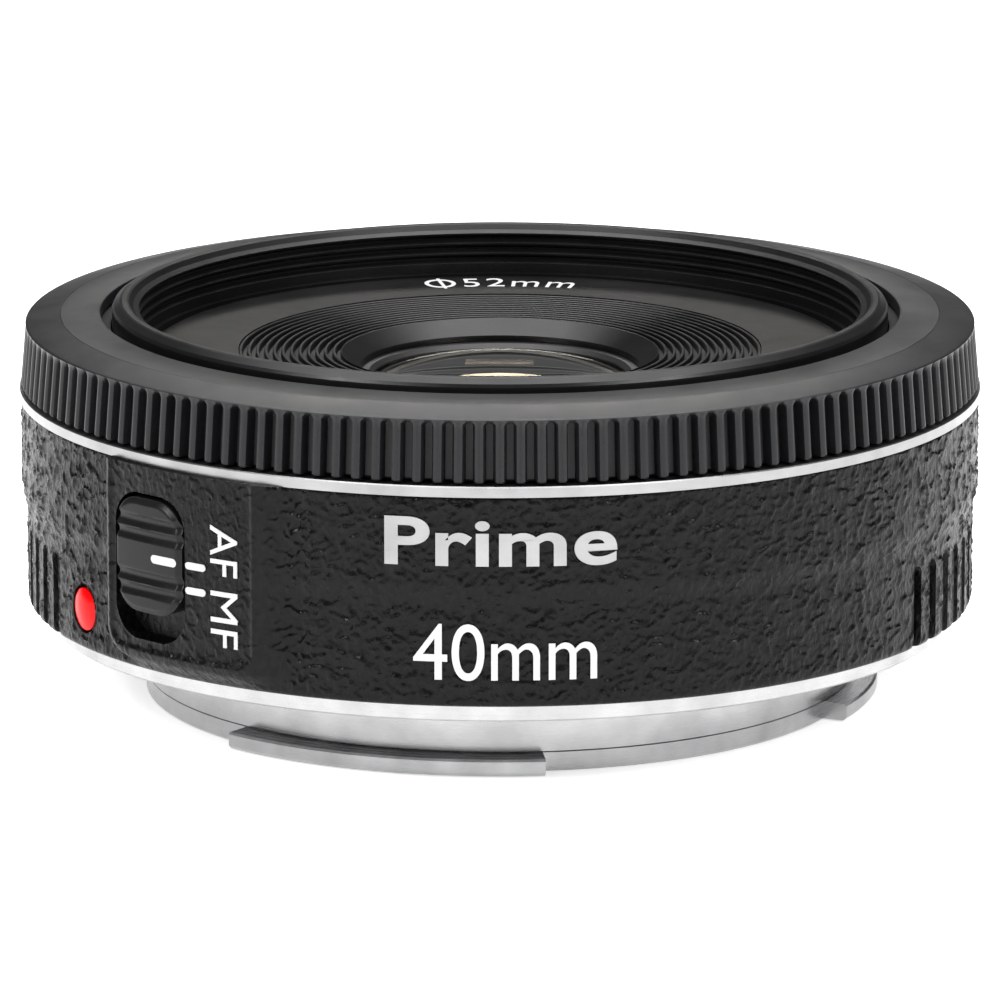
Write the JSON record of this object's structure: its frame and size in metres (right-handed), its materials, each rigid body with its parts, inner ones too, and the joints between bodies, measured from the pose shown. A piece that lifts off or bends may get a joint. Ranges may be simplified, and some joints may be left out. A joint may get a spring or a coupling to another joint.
{
  "type": "camera lens",
  "caption": "Pancake autofocus prime lens with a bayonet mount, ribbed focus ring, focus-mode switch, filter thread, gear-driven cam, iris and glass.",
  "frame": {"origin": "centre of the mount flange's rear face, on the optical axis", "axes": "+Z along the optical axis towards the front; -Y is the top of the lens when it is on a camera"},
  "size_m": [0.0682, 0.0682, 0.0282],
  "materials": {
    "mount_steel": "satin turned chrome-plated metal",
    "screw_steel": "plated steel",
    "rear_black": "matt black moulding",
    "contact_plastic": "matt black moulding",
    "gold_contact": "gold plating",
    "screw_black": "blackened steel",
    "barrel_plastic": "fine leather grain",
    "trim_silver": "bright anodised",
    "index_red": "polished",
    "inner_plastic": "glass-filled moulding",
    "spring_steel": "bright spring steel",
    "felt_black": "flocked",
    "electronic_black": "moulded package",
    "flex_amber": "polyimide film",
    "board_green": "solder mask",
    "connector_plastic": "moulded",
    "plate_steel": "stamped steel",
    "motor_steel": "drawn steel can",
    "gear_plastic": "acetal",
    "brass_gear": "cut brass",
    "ring_plastic": "satin moulding",
    "knob_plastic": "satin moulding",
    "copper_brush": "phosphor bronze",
    "front_plastic": "satin moulding",
    "name_ring_plastic": "fine matt",
    "baffle_plastic": "fine matt",
    "cell_black": "black anodised",
    "coated_glass": "multi-coated",
    "blade_black": "dry film black"
  },
  "bodies": {
    "barrel": {"mount_ring": "mount_steel", "mount_screws": "screw_steel", "rear_cover": "rear_black", "contact_block": "contact_plastic", "contact_pads": "gold_contact", "contact_block_screws": "screw_black", "fixed_barrel": "barrel_plastic", "trim_ring": "trim_silver", "index_dot": "index_red", "guide_sleeve": "inner_plastic", "drive_ring_retainer": "inner_plastic", "focus_ring_snap_ring": "spring_steel", "light_seal": "felt_black", "photo_interrupters": "electronic_black", "flex_cable": "flex_amber", "switch_board": "board_green", "switch_detent_spring": "spring_steel", "main_board": "board_green", "board_chips": "electronic_black", "board_connector": "connector_plastic", "board_screws": "screw_steel", "motor_bracket": "plate_steel", "bracket_screws": "screw_steel", "focus_motor": "motor_steel", "idler_shaft": "spring_steel"},
    "focus_ring": {"focus_ring": "ring_plastic", "encoder_ring": "inner_plastic"},
    "drive_ring": {"drive_ring": "inner_plastic"},
    "idler_gear": {"idler_gear": "gear_plastic"},
    "motor_pinion": {"motor_pinion": "brass_gear"},
    "switch_knob": {"switch_knob": "knob_plastic", "switch_brush": "copper_brush"},
    "lens_group": {"front_barrel": "front_plastic", "cam_follower_pins": "plate_steel", "name_ring": "name_ring_plastic", "front_baffle": "baffle_plastic", "front_cell": "cell_black", "front_retaining_ring": "cell_black", "rear_cell": "cell_black", "rear_retaining_ring": "cell_black", "iris_base_plate": "cell_black", "iris_cover_plate": "cell_black", "iris_screws": "screw_black", "aperture_motor": "motor_steel", "lens_element_1": "coated_glass", "lens_element_2": "coated_glass", "lens_element_3": "coated_glass", "lens_element_4": "coated_glass", "lens_element_5": "coated_glass", "lens_element_6": "coated_glass"},
    "iris_ring": {"iris_ring": "inner_plastic"},
    "aperture_pinion": {"aperture_pinion": "brass_gear"},
    "aperture_blade_1": {"aperture_blade_1": "blade_black"},
    "aperture_blade_2": {"aperture_blade_2": "blade_black"},
    "aperture_blade_3": {"aperture_blade_3": "blade_black"},
    "aperture_blade_4": {"aperture_blade_4": "blade_black"},
    "aperture_blade_5": {"aperture_blade_5": "blade_black"},
    "aperture_blade_6": {"aperture_blade_6": "blade_black"},
    "aperture_blade_7": {"aperture_blade_7": "blade_black"}
  },
  "joints": [
    {"name": "focus_ring_turn", "type": "hinge", "parent": "barrel", "child": "focus_ring", "pos_m": [0, 0, 0.019], "axis": [0, 0, 1], "continuous": true},
    {"name": "drive_ring_turn", "type": "hinge", "parent": "barrel", "child": "drive_ring", "pos_m": [0, 0, 0.0097], "axis": [0, 0, 1], "range_deg": [0, 90]},
    {"name": "lens_group_slide", "type": "slide", "parent": "barrel", "child": "lens_group", "axis": [0, 0, 1], "range_m": [0, 0.0072]},
    {"name": "idler_turn", "type": "hinge", "parent": "barrel", "child": "idler_gear", "pos_m": [0.0231, 0, 0.00305], "axis": [0, 0, 1], "range_deg": [0, 668]},
    {"name": "motor_pinion_turn", "type": "hinge", "parent": "barrel", "child": "motor_pinion", "pos_m": [0.01928, 0.00382, 0.00305], "axis": [0, 0, 1], "range_deg": [-1335.5, 0]},
    {"name": "switch_slide", "type": "slide", "parent": "barrel", "child": "switch_knob", "axis": [0, 0, -1], "range_m": [0, 0.0018]},
    {"name": "iris_ring_turn", "type": "hinge", "parent": "lens_group", "child": "iris_ring", "pos_m": [0, 0, 0.0092], "axis": [0, 0, 1], "range_deg": [0, 20]},
    {"name": "aperture_pinion_turn", "type": "hinge", "parent": "lens_group", "child": "aperture_pinion", "pos_m": [-0.0192, 0, 0.0092], "axis": [0, 0, 1], "range_deg": [-193.83, 0]},
    {"name": "blade_1_turn", "type": "hinge", "parent": "lens_group", "child": "aperture_blade_1", "pos_m": [0, -0.0132, 0.0086], "axis": [0, 0, 1], "range_deg": [0, 26]},
    {"name": "blade_2_turn", "type": "hinge", "parent": "lens_group", "child": "aperture_blade_2", "pos_m": [0.01032, -0.00823, 0.0086], "axis": [0, 0, 1], "range_deg": [0, 26]},
    {"name": "blade_3_turn", "type": "hinge", "parent": "lens_group", "child": "aperture_blade_3", "pos_m": [0.01287, 0.00294, 0.0086], "axis": [0, 0, 1], "range_deg": [0, 26]},
    {"name": "blade_4_turn", "type": "hinge", "parent": "lens_group", "child": "aperture_blade_4", "pos_m": [0.00573, 0.01189, 0.0086], "axis": [0, 0, 1], "range_deg": [0, 26]},
    {"name": "blade_5_turn", "type": "hinge", "parent": "lens_group", "child": "aperture_blade_5", "pos_m": [-0.00573, 0.01189, 0.0086], "axis": [0, 0, 1], "range_deg": [0, 26]},
    {"name": "blade_6_turn", "type": "hinge", "parent": "lens_group", "child": "aperture_blade_6", "pos_m": [-0.01287, 0.00294, 0.0086], "axis": [0, 0, 1], "range_deg": [0, 26]},
    {"name": "blade_7_turn", "type": "hinge", "parent": "lens_group", "child": "aperture_blade_7", "pos_m": [-0.01032, -0.00823, 0.0086], "axis": [0, 0, 1], "range_deg": [0, 26]}
  ],
  "couplings": [
    {"joint": "drive_ring_turn", "follows": "lens_group_slide", "rad_per_m": 218.16},
    {"joint": "idler_turn", "follows": "lens_group_slide", "rad_per_m": 1618},
    {"joint": "motor_pinion_turn", "follows": "lens_group_slide", "rad_per_m": -3236.1},
    {"joint": "aperture_pinion_turn", "follows": "iris_ring_turn", "ratio": -9.6667},
    {"joint": "blade_1_turn", "follows": "iris_ring_turn", "ratio": 1.3},
    {"joint": "blade_2_turn", "follows": "iris_ring_turn", "ratio": 1.3},
    {"joint": "blade_3_turn", "follows": "iris_ring_turn", "ratio": 1.3},
    {"joint": "blade_4_turn", "follows": "iris_ring_turn", "ratio": 1.3},
    {"joint": "blade_5_turn", "follows": "iris_ring_turn", "ratio": 1.3},
    {"joint": "blade_6_turn", "follows": "iris_ring_turn", "ratio": 1.3},
    {"joint": "blade_7_turn", "follows": "iris_ring_turn", "ratio": 1.3}
  ]
}
